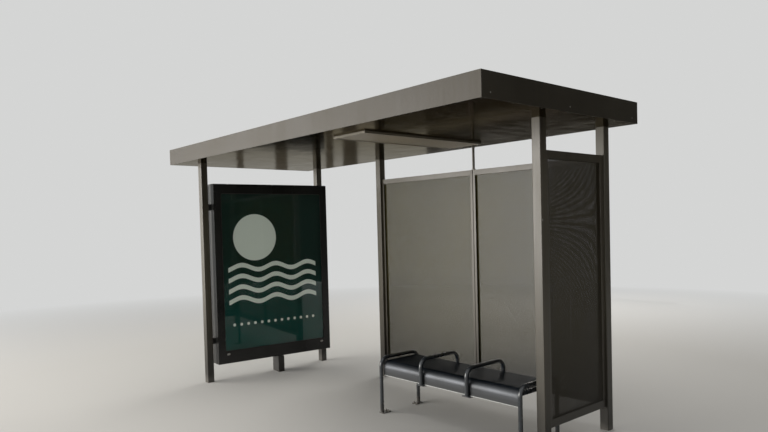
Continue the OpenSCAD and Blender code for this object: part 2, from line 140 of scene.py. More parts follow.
def weathered_paint(name, paint, faded, shine=(0.28, 0.42), streaks=0.55, darken_height=0.0, rub=0.0025,
                    gloss=0.5):
    """Powder coat with an orange-peel skin, chalky fading, rain streaks and rubbed edges, its
    colour darkened towards the foot from the given height down."""
    material, tree, shader = finish_tree(name)
    cloud = noise(tree, (1.4, 1.4, 0.9), 5.0, 0.6)
    run = noise(tree, (34.0, 34.0, 0.9), 4.0, 0.6)
    speck = noise(tree, (240.0, 240.0, 240.0), 3.0, 0.6)
    fade = combine(tree, "MULTIPLY", ramp(tree, cloud, 0.32, 0.68), 0.55)
    colour = blend_colour(tree, fade, paint, faded)
    runs = combine(tree, "MULTIPLY", ramp(tree, run, 0.52, 0.74), streaks)
    colour = blend_colour(tree, runs, colour, faded)
    drips = combine(tree, "MULTIPLY", ramp(tree, run, 0.46, 0.24), streaks * 0.8)
    colour = blend_colour(tree, drips, colour, grime)
    grit = combine(tree, "MULTIPLY", ramp(tree, speck, 0.60, 0.78), 0.35)
    colour = blend_colour(tree, grit, colour, road_dust)
    # Darker towards the foot, from the given height down, and greyer with dust at the very foot.
    if darken_height:
        uneven = combine(tree, "ADD", height(tree), ramp(tree, cloud, 0.3, 0.7, -0.1, 0.1))
        darker_foot = ramp(tree, uneven, darken_height, 0.1 * darken_height, 0.0, 0.92)
        colour = blend_colour(tree, darker_foot, colour, grime)
        dusty = ramp(tree, uneven, 0.06, 0.0, 0.0, 0.6)
        colour = blend_colour(tree, dusty, colour, road_dust)
    rubbed = edge_rub(tree, rub, 0.90, 0.985)
    colour = blend_colour(tree, combine(tree, "MULTIPLY", rubbed, 0.6), colour, (0.26, 0.25, 0.23))
    tree.links.new(colour, shader.inputs["Base Color"])
    rough = combine(tree, "ADD", ramp(tree, cloud, 0.3, 0.7, *shine),
                    ramp(tree, run, 0.4, 0.7, 0.0, 0.2 * streaks))
    tree.links.new(rough, shader.inputs["Roughness"])
    shader.inputs["Specular IOR Level"].default_value = gloss
    skin = noise(tree, (420.0, 420.0, 420.0), 2.0, 0.5)
    bump(tree, shader, skin, 0.00025, 0.6)
    return material


def dress(names, material):
    """Gives each named piece of the frame the material."""
    for name in names:
        for slot in nodes[name].material_slots:
            slot.material = material


post_paint = weathered_paint("post_paint", bronze, chalk, darken_height=0.95)
dress(POSTS, post_paint)

# Fascia: four folded steel plates that close the roof's edge, with small flanges
# turned in at the top and the foot. They have a dull bronze coat, streaked where
# rain runs off the roof. The end plates get a darker copy of the coat: painted shade
# for the sides that face away from the light.
fascia_paint = weathered_paint("fascia_paint", (0.037, 0.031, 0.022), (0.070, 0.061, 0.045),
                               shine=(0.40, 0.52), streaks=0.3, gloss=0.3)
dress(["front_fascia", "back_fascia"], fascia_paint)
# A darker copy of the coat for the end plates: painted shade.
shaded_end_paint = weathered_paint("fascia_end_shaded_paint", (0.025, 0.021, 0.014), (0.047, 0.041, 0.029),
                            shine=(0.42, 0.54), streaks=0.3, gloss=0.2)
dress(["left_fascia", "right_fascia"], shaded_end_paint)

# Fascia screws: three countersunk heads in each end plate, flush with it and left
# bare, which draw it onto the roof's frame. A small dark disc in the middle of each
# head is painted shade for its socket.
screw_pitch, screw_height, screw_radius, socket_shade_radius = 0.855, 2.503, 0.0055, 0.0022
plate_face = cad_box[1][0] - 0.001
tree = shaded_end_paint.node_tree
shader = tree.nodes["Principled BSDF"]
axes = add(tree, "SeparateXYZ", {"Vector": place(tree)}).outputs
turns = combine(tree, "ADD", combine(tree, "DIVIDE", axes["Y"], screw_pitch), 0.5)
aside = combine(tree, "SUBTRACT", combine(tree, "FRACT", turns), 0.5)
aside = combine(tree, "MULTIPLY", aside, screw_pitch)
rise = combine(tree, "SUBTRACT", axes["Z"], screw_height)
away = add(tree, "CombineXYZ", {"X": aside, "Y": rise, "Z": 0.0}).outputs["Vector"]
away = add(tree, "VectorMath", {0: away}, operation="LENGTH").outputs["Value"]
outer = combine(tree, "GREATER_THAN", combine(tree, "ABSOLUTE", axes["X"]), plate_face)
head = combine(tree, "MULTIPLY", combine(tree, "LESS_THAN", away, screw_radius), outer)
socket_shade = combine(tree, "MULTIPLY", combine(tree, "LESS_THAN", away, socket_shade_radius), outer)
painted = shader.inputs["Base Color"].links[0].from_socket
colour = blend_colour(tree, head, painted, (0.30, 0.29, 0.27))
# Painted shade for the socket in each head.
colour = blend_colour(tree, socket_shade, colour, (0.03, 0.03, 0.03))
tree.links.new(colour, shader.inputs["Base Color"])

# Roof: a flat sheet deck over a tube frame. Its paint is covered in dust, with dark
# stains in patches where water has stood.
deck, tree, shader = finish_tree("deck_paint")
cloud = noise(tree, (0.9, 1.1, 1.0), 7.0, 0.62)
stain = noise(tree, (3.1, 3.4, 3.0), 8.0, 0.7, offset=(4.0, 2.0, 0.0))
colour = blend_colour(tree, ramp(tree, cloud, 0.35, 0.65), (0.10, 0.094, 0.08), (0.21, 0.20, 0.17))
colour = blend_colour(tree, ramp(tree, stain, 0.50, 0.66, 0.0, 0.7), colour, (0.045, 0.040, 0.032))
tree.links.new(colour, shader.inputs["Base Color"])
tree.links.new(ramp(tree, stain, 0.4, 0.7, 0.55, 0.85), shader.inputs["Roughness"])
bump(tree, shader, noise(tree, (60.0, 60.0, 60.0), 6.0, 0.7), 0.0008, 0.5)
dress(["roof_deck"], deck)
beam_paint = weathered_paint("beam_paint", (0.06, 0.055, 0.048), (0.10, 0.095, 0.085),
                             shine=(0.5, 0.65), streaks=0.15)
dress(["back_roof_beam", "left_roof_beam", "right_roof_beam"], beam_paint)

# Deck screws: button heads that hold the deck down to the frame, just inside the
# fascia's top flange. Plated steel, dull with dirt.
roof_half, deck_z = cad_box[1][:2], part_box("roof_deck")[1][2]
screw_edge, screw_spacing = 0.048, 0.38


def pick_faces(piece, wanted):
    """Leaves the piece in edit mode with only the wanted faces selected."""
    bpy.context.view_layer.objects.active = piece
    bpy.ops.object.mode_set(mode="EDIT")
    bpy.ops.mesh.select_mode(type="FACE")
    bpy.ops.mesh.select_all(action="DESELECT")
    bpy.ops.object.mode_set(mode="OBJECT")
    for face in piece.data.polygons:
        face.select = wanted(face.center, face.normal)
    bpy.ops.object.mode_set(mode="EDIT")


def button_head(radius, rise, socket=True, sides=16):
    """A fastener's head on z = 0, facing +Z."""
    bpy.ops.mesh.primitive_cylinder_add(vertices=sides, radius=radius, depth=rise / 2,
                                        location=(0.0, 0.0, rise / 4))
    head = bpy.context.object
    bpy.ops.object.transform_apply(location=True)
    pick_faces(head, lambda centre, normal: normal.z > 0.9)
    for inward, lift in ((0.25, 0.30), (0.25, 0.15), (0.12, 0.05)):
        bpy.ops.mesh.inset(thickness=radius * inward)
        bpy.ops.transform.translate(value=(0.0, 0.0, rise * lift))
    if socket:
        bpy.ops.mesh.extrude_region_move(TRANSFORM_OT_translate={"value": (0.0, 0.0, -rise * 0.5)})
    bpy.ops.object.mode_set(mode="OBJECT")
    return head


def settle(piece, name, material, body):
    """Puts the piece's place in its mesh, smooths it, and hangs it on its body."""
    bpy.ops.object.select_all(action="DESELECT")
    piece.select_set(True)
    bpy.context.view_layer.objects.active = piece
    bpy.ops.object.transform_apply(location=True, rotation=True, scale=True)
    bpy.ops.object.shade_smooth_by_angle(angle=math.radians(35.0))
    piece.name = name
    piece.data.name = name
    piece.data.materials.clear()
    piece.data.materials.append(material)
    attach(piece, body)


def fasten(pattern, spots, name, material, body):
    """Copies the pattern to each (place, facing) and joins the copies into one piece."""
    copies = []
    for spot, facing in spots:
        copy = pattern.copy()
        copy.data = pattern.data.copy()
        bpy.context.scene.collection.objects.link(copy)
        turned = Vector((0.0, 0.0, 1.0)).rotation_difference(Vector(facing)).to_matrix().to_4x4()
        copy.matrix_world = Matrix.Translation(spot) @ turned
        copies.append(copy)
    bpy.data.objects.remove(pattern)
    bpy.ops.object.select_all(action="DESELECT")
    for copy in copies:
        copy.select_set(True)
    bpy.context.view_layer.objects.active = copies[0]
    bpy.ops.object.transform_apply(location=True, rotation=True, scale=True)
    bpy.ops.object.join()
    settle(copies[0], name, material, body)


def around_roof(edge, z, spacing, facing):
    """Spots along the roof's four edges, edge in from each, about spacing apart."""
    spots = []
    for axis in (0, 1):
        run, across = roof_half[axis] - edge, roof_half[1 - axis] - edge
        steps = max(2, round(2 * run / spacing))
        for step in range(steps + (1 if axis == 0 else -1)):
            along = -run + 2 * run * (step if axis == 0 else step + 1) / steps
            for side in (-across, across):
                spots.append(((along, side, z) if axis == 0 else (side, along, z), facing))
    return spots


dull_steel, tree, shader = finish_tree("dull_steel")
tarnish = noise(tree, (90.0, 90.0, 90.0), 4.0, 0.6)
colour = blend_colour(tree, ramp(tree, tarnish, 0.35, 0.65), (0.20, 0.19, 0.17), (0.36, 0.34, 0.31))
tree.links.new(colour, shader.inputs["Base Color"])
tree.links.new(ramp(tree, tarnish, 0.3, 0.7, 0.35, 0.6), shader.inputs["Roughness"])
shader.inputs["Metallic"].default_value = 1.0
bump(tree, shader, tarnish, 0.0001, 0.5)
fasten(button_head(0.0055, 0.0032), around_roof(screw_edge, deck_z, screw_spacing, (0, 0, 1)),
       "deck_screws", dull_steel, "shelter")

# Soffit: a smooth sheet with a dark bronze mirror finish, riveted up under the
# fascia's flanges. It is a little wavy, so that what stands round it shows as long
# streaks, and it has a film of dust.
soffit_z, rivet_edge, rivet_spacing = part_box("soffit_panel")[0][2], 0.017, 0.305
soffit, tree, shader = finish_tree("soffit_gloss")
cloud = noise(tree, (1.1, 1.6, 1.0), 5.0, 0.6)
film = noise(tree, (9.0, 5.0, 5.0), 6.0, 0.65)
colour = blend_colour(tree, ramp(tree, cloud, 0.3, 0.7), (0.030, 0.022, 0.009), (0.048, 0.036, 0.015))
colour = blend_colour(tree, ramp(tree, film, 0.58, 0.78, 0.0, 0.22), colour, (0.10, 0.085, 0.062))
tree.links.new(colour, shader.inputs["Base Color"])
tree.links.new(ramp(tree, film, 0.35, 0.75, 0.10, 0.20), shader.inputs["Roughness"])
shader.inputs["Metallic"].default_value = 0.85
shader.inputs["Specular IOR Level"].default_value = 0.2
shader.inputs["Specular Tint"].default_value = (0.22, 0.175, 0.075, 1.0)
bump(tree, shader, noise(tree, (2.6, 5.5, 1.0), 2.0, 0.4), 0.006, 0.3)
dress(["soffit_panel"], soffit)
rivet_spots = around_roof(rivet_edge, soffit_z, rivet_spacing, (0, 0, -1))
fasten(button_head(0.0050, 0.0026, socket=False), rivet_spots, "soffit_rivets", beam_paint,
       "shelter")

# Ceiling light: a shallow sheet tray under the soffit with a flat diffuser set in
# its rim, screwed up through the rim. It isn't lit.
light_paint = weathered_paint("light_paint", (0.15, 0.13, 0.095), (0.22, 0.20, 0.155),
                              shine=(0.4, 0.55), streaks=0.1)
dress(["ceiling_light_housing"], light_paint)
lens, tree, shader = finish_tree("light_lens")
mottle = noise(tree, (2.0, 1.2, 2.0), 5.0, 0.6)
bugs = noise(tree, (55.0, 55.0, 55.0), 3.0, 0.6)
colour = blend_colour(tree, ramp(tree, mottle, 0.3, 0.7), (0.20, 0.165, 0.11), (0.30, 0.255, 0.18))
colour = blend_colour(tree, ramp(tree, bugs, 0.66, 0.76, 0.0, 0.6), colour, (0.05, 0.04, 0.03))
tree.links.new(colour, shader.inputs["Base Color"])
tree.links.new(ramp(tree, mottle, 0.3, 0.7, 0.42, 0.6), shader.inputs["Roughness"])
bump(tree, shader, noise(tree, (300.0, 300.0, 300.0), 2.0), 0.0003, 0.5)
dress(["ceiling_light_lens"], lens)
light_low, light_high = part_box("ceiling_light_housing")
rim, rim_screws, end_gap = 0.006, 6, 0.05
rim_pitch = (light_high[1] - light_low[1] - 2 * end_gap) / (rim_screws - 1)
rim_spots = []
for side in (light_low[0] + rim, light_high[0] - rim):
    for step in range(rim_screws):
        along = light_low[1] + end_gap + step * rim_pitch
        rim_spots.append(((side, along, light_low[2]), (0, 0, -1)))
fasten(button_head(0.0036, 0.0022), rim_spots, "light_rim_screws", dull_steel, "shelter")

# Wall and screen frames: folded steel channels that hold the perforated sheets between
# the posts. They and the light's conduit have the posts' coat, with fewer streaks.
frame_paint = weathered_paint("frame_paint", (0.055, 0.047, 0.034), (0.115, 0.103, 0.078),
                              streaks=0.3, darken_height=0.8)
dress(["left_wall_frame", "right_wall_frame", "side_screen_frame", "light_conduit"], frame_paint)

# Post bolt: one domed head of plated steel near the front corner of the front right
# post, at eye height, screwed into the tube's wall.
post_bolt_inset, post_bolt_height = 0.009, 1.727
post_low, post_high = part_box("front_right_post")
post_bolt_spot = (post_high[0], post_low[1] + post_bolt_inset, post_bolt_height)
fasten(button_head(0.0065, 0.0040, socket=False), [(post_bolt_spot, (1, 0, 0))], "post_bolt",
       dull_steel, "shelter")

# Conduit nuts: eight-sided lock rings where the conduit leaves the wall frames and
# where it goes up through the soffit.
conduit_low, conduit_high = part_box("light_conduit")
conduit_middle = [(low + high) / 2 for low, high in zip(conduit_low, conduit_high)]
nut_radius, nut_height, nut_bore = 0.0195, 0.012, 0.0135
bpy.ops.mesh.primitive_cylinder_add(vertices=8, radius=nut_radius, depth=nut_height,
                                    location=(0.0, 0.0, nut_height / 2))
nut = bpy.context.object
bpy.ops.object.transform_apply(location=True)
pick_faces(nut, lambda centre, normal: abs(normal.z) > 0.9)
bpy.ops.mesh.inset(thickness=nut_radius - nut_bore)
bpy.ops.mesh.delete(type="ONLY_FACE")
bpy.ops.mesh.select_mode(type="EDGE")
bpy.ops.mesh.select_all(action="DESELECT")
bpy.ops.mesh.select_non_manifold()
bpy.ops.mesh.bridge_edge_loops()
bpy.ops.mesh.select_all(action="SELECT")
bpy.ops.mesh.normals_make_consistent(inside=False)
bpy.ops.object.mode_set(mode="OBJECT")
chamfer = nut.modifiers.new("chamfer", "BEVEL")
chamfer.width, chamfer.segments = 0.0012, 2
bpy.ops.object.modifier_apply(modifier="chamfer")
nut_spots = [((conduit_middle[0], conduit_middle[1], conduit_low[2]), (0, 0, 1)),
             ((conduit_middle[0], conduit_middle[1], conduit_high[2]), (0, 0, -1))]
fasten(nut, nut_spots, "conduit_nuts", dull_steel, "shelter")

# Perforated sheets: steel punched with 5/32 inch round holes on a staggered quarter
# inch pitch and powder coated. A third of the sheet is open, so what is behind it
# shows as through a haze.
hole_pitch, hole_radius, rim_radius = 0.00635, 0.00198, 0.00242
# Painted shade: near black laid over the sheets' paint, growing from 1.3 m down to 0.3 m.
shade_top, shade_foot, painted_shade = 1.3, 0.3, (0.006, 0.007, 0.008)


def punched(name, across, paint, faded, foot_shade, gloss):
    """Paint with see-through holes and painted shade towards the foot; across is the horizontal axis."""
    material, tree, shader = finish_tree(name)
    axes = add(tree, "SeparateXYZ", {"Vector": place(tree)}).outputs
    flat = add(tree, "CombineXYZ", {"X": axes[across], "Y": axes["Z"], "Z": 0.0}).outputs["Vector"]
    cell = (hole_pitch, hole_pitch * math.sqrt(3), 1.0)
    counted = add(tree, "VectorMath", {0: flat, 1: cell}, operation="DIVIDE").outputs["Vector"]
    nearest = None
    for shift in (0.0, 0.5):
        moved = add(tree, "VectorMath", {0: counted, 1: (shift, shift, 0.0)}, operation="ADD")
        part = add(tree, "VectorMath", {0: moved.outputs["Vector"]}, operation="FRACTION")
        centred = add(tree, "VectorMath", {0: part.outputs["Vector"], 1: (0.5, 0.5, 0.0)},
                      operation="SUBTRACT")
        sized = add(tree, "VectorMath", {0: centred.outputs["Vector"], 1: cell}, operation="MULTIPLY")
        away = add(tree, "VectorMath", {0: sized.outputs["Vector"]}, operation="LENGTH").outputs["Value"]
        nearest = away if nearest is None else combine(tree, "MINIMUM", nearest, away)
    metal = combine(tree, "GREATER_THAN", nearest, hole_radius)
    cloud = noise(tree, (1.2, 1.2, 0.8), 5.0, 0.6)
    run = noise(tree, (22.0, 22.0, 0.7), 4.0, 0.6)
    colour = blend_colour(tree, ramp(tree, cloud, 0.3, 0.7), paint, faded)
    colour = blend_colour(tree, ramp(tree, run, 0.55, 0.75, 0.0, 0.15), colour, road_dust)
    # Painted shade over the lower part of the sheet.
    darker_foot = ramp(tree, axes["Z"], shade_top, shade_foot, 0.0, foot_shade)
    colour = blend_colour(tree, darker_foot, colour, painted_shade)
    tree.links.new(colour, shader.inputs["Base Color"])
    tree.links.new(ramp(tree, cloud, 0.3, 0.7, 0.42, 0.58), shader.inputs["Roughness"])
    shader.inputs["Specular IOR Level"].default_value = gloss
    rim = ramp(tree, nearest, hole_radius, rim_radius)
    bump(tree, shader, rim, 0.0004, 0.6)
    clear = add(tree, "BsdfTransparent")
    both = add(tree, "MixShader", {"Fac": metal, 1: clear.outputs["BSDF"], 2: shader.outputs["BSDF"]})
    tree.links.new(both.outputs["Shader"], tree.nodes["Material Output"].inputs["Surface"])
    return material


wall_sheet = punched("perforated_wall", "X", (0.044, 0.036, 0.009), (0.073, 0.061, 0.020), 0.7, 0.10)
dress(["left_wall_panel", "right_wall_panel"], wall_sheet)
# The side screen gets a darker copy of the sheets' paint: painted shade for the side that faces away from
# the light.
shaded_screen_sheet = punched("perforated_screen_shaded", "Y", (0.018, 0.0130, 0.0050), (0.034, 0.027, 0.011), 0.3, 0.3)
dress(["side_screen_panel"], shaded_screen_sheet)

# Poster case: a dark sheet housing on a pedestal, bracketed to the posts. It holds
# a poster on each face behind a glazed door. The inner door swings up on a rod
# along its top edge and is locked at its foot.
case_paint = weathered_paint("case_paint", (0.030, 0.030, 0.028), (0.060, 0.060, 0.057),
                             shine=(0.36, 0.5), streaks=0.3, darken_height=0.5)
dress(["case_housing", "case_leg", "upper_front_bracket", "lower_front_bracket",
       "upper_back_bracket", "lower_back_bracket"], case_paint)
door_paint = weathered_paint("door_paint", (0.0085, 0.0090, 0.0085), (0.022, 0.023, 0.022),
                             shine=(0.14, 0.24), streaks=0.0, gloss=0.4)
dress(["inner_door_frame", "outer_door_frame"], door_paint)

# Bracket angles: folded steel, from the back brackets' faces round to the right face
# of the back left post, in the case's paint.
angle_sheet, angle_tall, angle_turn, angle_end = 0.005, 0.064, 0.050, 0.004
post_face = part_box("back_left_post")[1][0]
plate_low, plate_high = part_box("upper_back_bracket")
angle_length = plate_high[0] - post_face - angle_end
bpy.ops.mesh.primitive_cube_add(size=1.0)
angle = bpy.context.object
bpy.ops.object.mode_set(mode="EDIT")
bpy.ops.transform.resize(value=(angle_length, angle_sheet, angle_tall), center_override=(0.0, 0.0, 0.0))
bpy.ops.transform.translate(value=(angle_length / 2, angle_sheet / 2, 0.0))
bpy.ops.mesh.bisect(plane_co=(angle_sheet, 0.0, 0.0), plane_no=(1.0, 0.0, 0.0))
bpy.ops.object.mode_set(mode="OBJECT")
pick_faces(angle, lambda centre, normal: normal.y > 0.9 and centre.x < angle_sheet)
bpy.ops.mesh.extrude_region_move(TRANSFORM_OT_translate={"value": (0.0, angle_turn - angle_sheet, 0.0)})
bpy.ops.object.mode_set(mode="OBJECT")
fold = angle.modifiers.new("fold", "BEVEL")
fold.width, fold.segments = 0.0016, 3
bpy.ops.object.modifier_apply(modifier="fold")
angle_rows = []
for name in ("upper_back_bracket", "lower_back_bracket"):
    low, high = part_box(name)
    angle_rows.append((high[1], (low[2] + high[2]) / 2))
angle_spots = [((post_face, row, middle), (0, 0, 1)) for row, middle in angle_rows]
fasten(angle, angle_spots, "bracket_angles", case_paint, "shelter")

# Bracket bolts: hexagon heads on washers, two through each angle into the back
# bracket and two into the post.
bolt_across, bolt_rise, washer_radius, washer_rise = 0.0085, 0.0055, 0.0105, 0.0016
bolt_ends, bolt_lift, post_bolt_row = (0.020, 0.026), 0.016, angle_turn / 2 + 0.002


def hexagon_bolt(stud=0.0):
    """A hexagon head or nut on a washer, facing +Z; stud is how far the bolt stands out."""
    bpy.ops.mesh.primitive_cylinder_add(vertices=24, radius=washer_radius, depth=washer_rise,
                                        location=(0.0, 0.0, washer_rise / 2))
    washer = bpy.context.object
    bpy.ops.object.transform_apply(location=True)
    pick_faces(washer, lambda centre, normal: normal.z > 0.9)
    bpy.ops.mesh.inset(thickness=0.0008)
    bpy.ops.transform.translate(value=(0.0, 0.0, 0.0003))
    bpy.ops.object.mode_set(mode="OBJECT")
    bpy.ops.mesh.primitive_cylinder_add(vertices=6, radius=bolt_across / math.cos(math.pi / 6),
                                        depth=bolt_rise, location=(0.0, 0.0, washer_rise + bolt_rise / 2))
    head = bpy.context.object
    bpy.ops.object.transform_apply(location=True)
    pick_faces(head, lambda centre, normal: normal.z > 0.9)
    bpy.ops.mesh.inset(thickness=0.0016)
    bpy.ops.transform.translate(value=(0.0, 0.0, 0.0010))
    if stud:
        bpy.ops.mesh.inset(thickness=0.0028)
        bpy.ops.mesh.extrude_region_move(TRANSFORM_OT_translate={"value": (0.0, 0.0, stud)})
        bpy.ops.mesh.inset(thickness=0.0008)
        bpy.ops.transform.translate(value=(0.0, 0.0, 0.0006))
    bpy.ops.object.mode_set(mode="OBJECT")
    washer.select_set(True)
    head.select_set(True)
    bpy.context.view_layer.objects.active = head
    bpy.ops.object.join()
    return head


bolt_spots = []
for row, middle in angle_rows:
    for along in (plate_low[0] + bolt_ends[0], plate_high[0] - bolt_ends[1]):
        bolt_spots.append(((along, row + angle_sheet, middle), (0, 1, 0)))
    for lift in (-bolt_lift, bolt_lift):
        bolt_spots.append(((post_face + angle_sheet, row + post_bolt_row, middle + lift), (1, 0, 0)))
fasten(hexagon_bolt(), bolt_spots, "bracket_bolts", dull_steel, "shelter")

# Door glass: toughened panes, clear with a faint green, set in the doors' frames and
# smeared by hands. A lamp's light passes through, so the posters show.
pane, tree, shader = finish_tree("door_glass")
smear = noise(tree, (3.0, 3.0, 5.0), 6.0, 0.65)
shader.inputs["Base Color"].default_value = (0.90, 0.96, 0.94, 1.0)
shader.inputs["Transmission Weight"].default_value = 1.0
shader.inputs["IOR"].default_value = 1.45
tree.links.new(ramp(tree, smear, 0.45, 0.75, 0.0, 0.05), shader.inputs["Roughness"])
clear = add(tree, "BsdfTransparent", {"Color": (0.93, 0.97, 0.95, 1.0)})
rays = add(tree, "LightPath").outputs["Is Shadow Ray"]
both = add(tree, "MixShader", {"Fac": rays, 1: shader.outputs["BSDF"], 2: clear.outputs["BSDF"]})
tree.links.new(both.outputs["Shader"], tree.nodes["Material Output"].inputs["Surface"])
dress(["inner_door_glass", "outer_door_glass"], pane)

# Glazing gaskets: black rubber beads pressed in round each pane, against the lip of
# the door's opening, with its corners' radius.
case_corner = (-1.874, -0.628, 0.0)
case_cant = math.radians(5.0)
case_width, case_depth, lip_depth = 1.460, 0.160, 0.008
opening_size, opening_middle, opening_radius = (1.290, 1.795), 1.2315, 0.022
bead_width, bead_height = 0.006, 0.0035
case_turn = Matrix.Rotation(-case_cant, 4, "Z")


def on_case(x, y, z):
    """A place given from the case's near inner corner, in the object's frame."""
    return Vector(case_corner) + case_turn @ Vector((x, y, z))


rubber, tree, shader = finish_tree("gasket_rubber")
bloom = noise(tree, (40.0, 40.0, 40.0), 4.0, 0.6)
colour = blend_colour(tree, ramp(tree, bloom, 0.35, 0.7), (0.010, 0.010, 0.010), (0.030, 0.030, 0.029))
tree.links.new(colour, shader.inputs["Base Color"])
tree.links.new(ramp(tree, bloom, 0.3, 0.7, 0.5, 0.75), shader.inputs["Roughness"])
bump(tree, shader, bloom, 0.0002, 0.5)
for name, body, depth, way in (("inner_gasket", "case_door", -lip_depth, 1),
                               ("outer_gasket", "shelter", lip_depth - case_depth, -1)):
    bpy.ops.mesh.primitive_plane_add(size=1.0)
    gasket = bpy.context.object
    bpy.ops.object.mode_set(mode="EDIT")
    bpy.ops.transform.resize(value=(opening_size[0], opening_size[1], 1.0))
    bpy.ops.mesh.bevel(offset=opening_radius, segments=6, affect="VERTICES")
    bpy.ops.mesh.inset(thickness=bead_width)
    bpy.ops.mesh.delete(type="FACE")
    bpy.ops.object.mode_set(mode="OBJECT")
    wall = gasket.modifiers.new("wall", "SOLIDIFY")
    wall.thickness, wall.offset = bead_height, 1.0
    bpy.ops.object.modifier_apply(modifier="wall")
    edge = gasket.modifiers.new("edge", "BEVEL")
    edge.width, edge.segments = 0.0012, 2
    bpy.ops.object.modifier_apply(modifier="edge")
    upright = Matrix(((0, 0, way, 0), (way, 0, 0, 0), (0, 1, 0, 0), (0, 0, 0, 1)))
    middle = Matrix.Translation(on_case(depth, case_width / 2, opening_middle))
    gasket.matrix_world = middle @ case_turn @ upright
    settle(gasket, name, rubber, body)

# Locks: two key barrels of brushed steel in the door's bottom rail, each in an oval
# plate that is pressed on round it, with a five-sided security pin in its middle.
steel, tree, shader = finish_tree("bare_steel")
brushed = noise(tree, (60.0, 900.0, 900.0), 3.0, 0.6)
colour = blend_colour(tree, ramp(tree, brushed, 0.3, 0.7), (0.34, 0.33, 0.31), (0.52, 0.51, 0.48))
tree.links.new(colour, shader.inputs["Base Color"])
tree.links.new(ramp(tree, brushed, 0.3, 0.7, 0.25, 0.42), shader.inputs["Roughness"])
shader.inputs["Metallic"].default_value = 1.0
bump(tree, shader, brushed, 0.0001, 0.4)
dress(["left_door_lock", "right_door_lock"], steel)
lock_radius, lock_proud, lock_height, lock_inset = 0.009, 0.002, 0.300, 0.120
plate_stretch, plate_rise, plate_rim = 1.7, 0.0012, 0.0025
outward = case_turn.to_3x3() @ Vector((1, 0, 0))
lock_sides = (lock_inset, case_width - lock_inset)
bpy.ops.mesh.primitive_cylinder_add(vertices=48, radius=lock_radius + plate_rim, depth=plate_rise,
                                    location=(0.0, 0.0, plate_rise / 2))
plate = bpy.context.object
bpy.ops.object.transform_apply(location=True)
pick_faces(plate, lambda centre, normal: normal.z > 0.9)
bpy.ops.mesh.inset(thickness=0.0012)
bpy.ops.transform.translate(value=(0.0, 0.0, 0.0005))
bpy.ops.mesh.select_all(action="SELECT")
bpy.ops.transform.resize(value=(1.0, plate_stretch, 1.0), center_override=(0.0, 0.0, 0.0))
bpy.ops.object.mode_set(mode="OBJECT")
plate_spots = [(on_case(0.0, side, lock_height), outward) for side in lock_sides]
fasten(plate, plate_spots, "lock_plates", steel, "case_door")
pin_spots = [(on_case(lock_proud, side, lock_height), outward) for side in lock_sides]
fasten(button_head(0.0042, 0.0020, sides=5), pin_spots, "lock_pins", dull_steel, "case_door")

# Hinge rods: two drawn steel rods, each through a door's top rail and the housing's
# lugs. Only the inner door swings.
dress(["inner_hinge_rod", "outer_hinge_rod"], steel)

# Posters: a printed sheet on a board, in deep green that turns teal at the foot, with
# a pale rising disc over waves and a row of dots. A plain design made for this case.
# The print has a painted glow, faint on the green and stronger on the pale motifs.
disc_middle, disc_radius = (0.50, 1.62), 0.27
wave_top, wave_pitch, wave_length, wave_rise, waves = 1.30, 0.125, 0.43, 0.030, 4
wave_share, side_margin = 0.42, 0.16
dot_height, dot_pitch, dot_radius = 0.62, 0.086, 0.017


